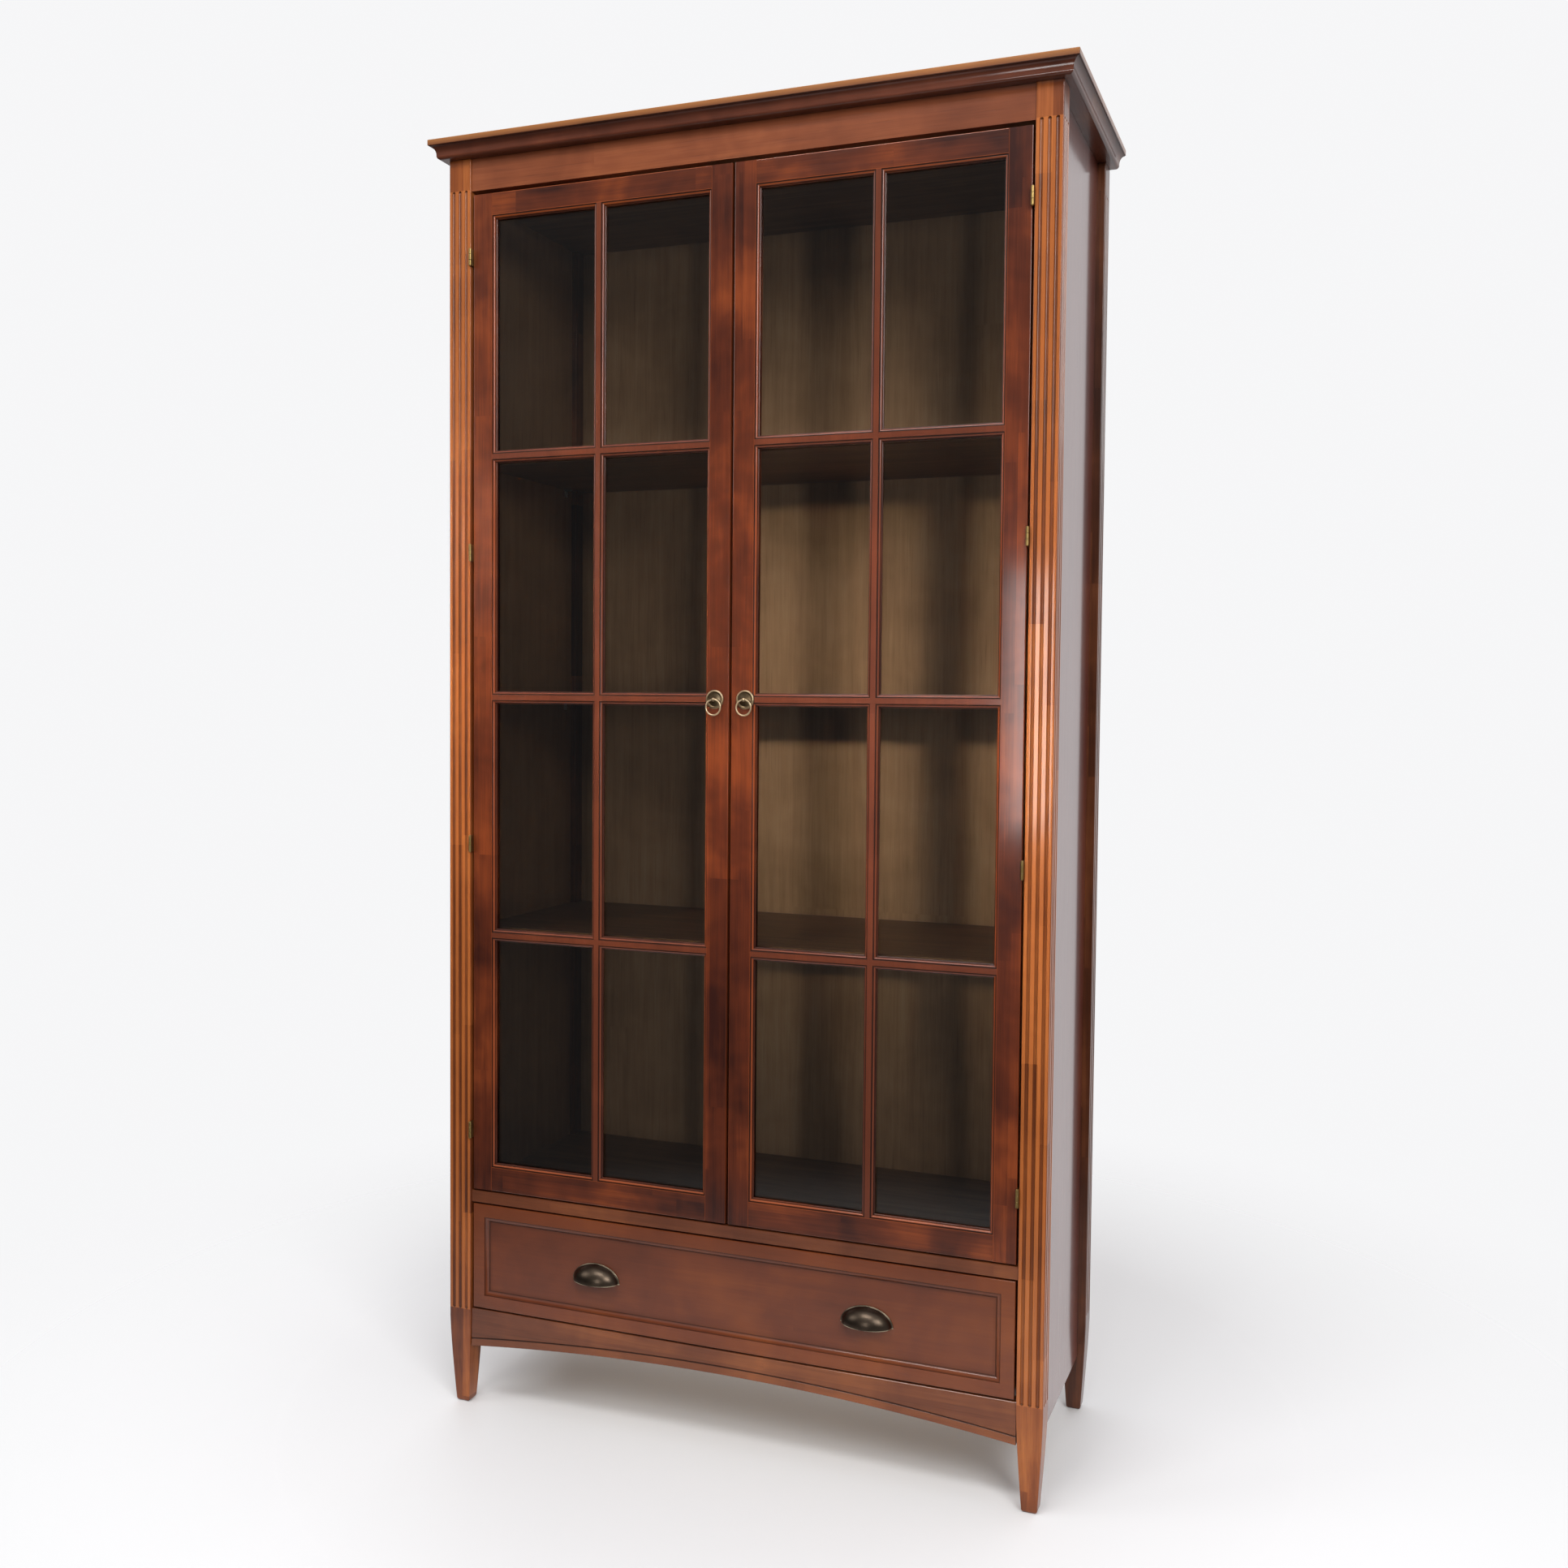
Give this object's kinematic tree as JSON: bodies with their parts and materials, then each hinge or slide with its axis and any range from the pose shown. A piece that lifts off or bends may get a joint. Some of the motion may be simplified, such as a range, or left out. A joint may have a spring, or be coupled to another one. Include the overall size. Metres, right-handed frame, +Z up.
{
  "type": "china cabinet",
  "caption": "Tall stained-hardwood china cabinet with fluted posts, a crowned top, two glazed doors over shelves, and one drawer above an arched apron.",
  "frame": {"origin": "on the floor under the centre of the cabinet's bounding box", "axes": "+Z up, the doors and drawer face -Y, +X to the right as seen from the front"},
  "size_m": [1, 0.4, 1.98],
  "materials": {
    "stained_wood": "semi-gloss red-brown stain with a dark glaze in the grooves",
    "interior_wood": "satin brown stain",
    "plywood": "satin stained plywood",
    "drawer_wood": "clear-sealed light hardwood",
    "hinge_brass": "polished brass",
    "aged_brass": "antique brass, dark in the hollows and rubbed on the crowns",
    "glass": "clear float glass"
  },
  "bodies": {
    "root": {"post_front_left": "stained_wood", "post_front_right": "stained_wood", "post_rear_left": "stained_wood", "post_rear_right": "stained_wood", "side_panel_left": "stained_wood", "side_panel_right": "stained_wood", "cornice_front": "stained_wood", "cornice_left": "stained_wood", "cornice_right": "stained_wood", "top_board": "stained_wood", "frieze_rail": "stained_wood", "divider_rail": "stained_wood", "apron": "stained_wood", "back_panel": "plywood", "ceiling_panel": "interior_wood", "cabinet_floor": "interior_wood", "shelf_lower": "interior_wood", "shelf_middle": "interior_wood", "shelf_upper": "interior_wood", "drawer_runner_left": "interior_wood", "drawer_runner_right": "interior_wood", "hinge_left_1_post_leaf": "hinge_brass", "hinge_left_2_post_leaf": "hinge_brass", "hinge_left_3_post_leaf": "hinge_brass", "hinge_left_4_post_leaf": "hinge_brass", "hinge_right_1_post_leaf": "hinge_brass", "hinge_right_2_post_leaf": "hinge_brass", "hinge_right_3_post_leaf": "hinge_brass", "hinge_right_4_post_leaf": "hinge_brass"},
    "door_left": {"door_left_hinge_stile": "stained_wood", "door_left_meeting_stile": "stained_wood", "door_left_top_rail": "stained_wood", "door_left_bottom_rail": "stained_wood", "door_left_glazing_bars": "stained_wood", "door_left_glass": "glass", "hinge_left_1_door_leaf": "hinge_brass", "hinge_left_2_door_leaf": "hinge_brass", "hinge_left_3_door_leaf": "hinge_brass", "hinge_left_4_door_leaf": "hinge_brass", "ring_pull_left_plate": "aged_brass"},
    "door_right": {"door_right_hinge_stile": "stained_wood", "door_right_meeting_stile": "stained_wood", "door_right_top_rail": "stained_wood", "door_right_bottom_rail": "stained_wood", "door_right_glazing_bars": "stained_wood", "door_right_glass": "glass", "hinge_right_1_door_leaf": "hinge_brass", "hinge_right_2_door_leaf": "hinge_brass", "hinge_right_3_door_leaf": "hinge_brass", "hinge_right_4_door_leaf": "hinge_brass", "ring_pull_right_plate": "aged_brass"},
    "drawer": {"drawer_front": "stained_wood", "drawer_side_left": "drawer_wood", "drawer_side_right": "drawer_wood", "drawer_back": "drawer_wood", "drawer_bottom": "plywood", "cup_pull_left": "aged_brass", "cup_pull_right": "aged_brass"},
    "ring_left": {"ring_pull_left_ring": "aged_brass"},
    "ring_right": {"ring_pull_right_ring": "aged_brass"}
  },
  "joints": [
    {"name": "door_left_hinge", "type": "hinge", "parent": "root", "child": "door_left", "pos_m": [-0.43625, -0.18, 1.123], "axis": [0, 0, -1], "range_deg": [0, 165]},
    {"name": "door_right_hinge", "type": "hinge", "parent": "root", "child": "door_right", "pos_m": [0.43625, -0.18, 1.123], "axis": [0, 0, 1], "range_deg": [0, 165]},
    {"name": "drawer_slide", "type": "slide", "parent": "root", "child": "drawer", "axis": [0, -1, 0], "range_m": [0, 0.24]},
    {"name": "ring_left_swing", "type": "hinge", "parent": "door_left", "child": "ring_left", "pos_m": [-0.024, -0.1795, 1.125], "axis": [-1, 0, 0], "range_deg": [0, 160]},
    {"name": "ring_right_swing", "type": "hinge", "parent": "door_right", "child": "ring_right", "pos_m": [0.024, -0.1795, 1.125], "axis": [-1, 0, 0], "range_deg": [0, 160]}
  ]
}
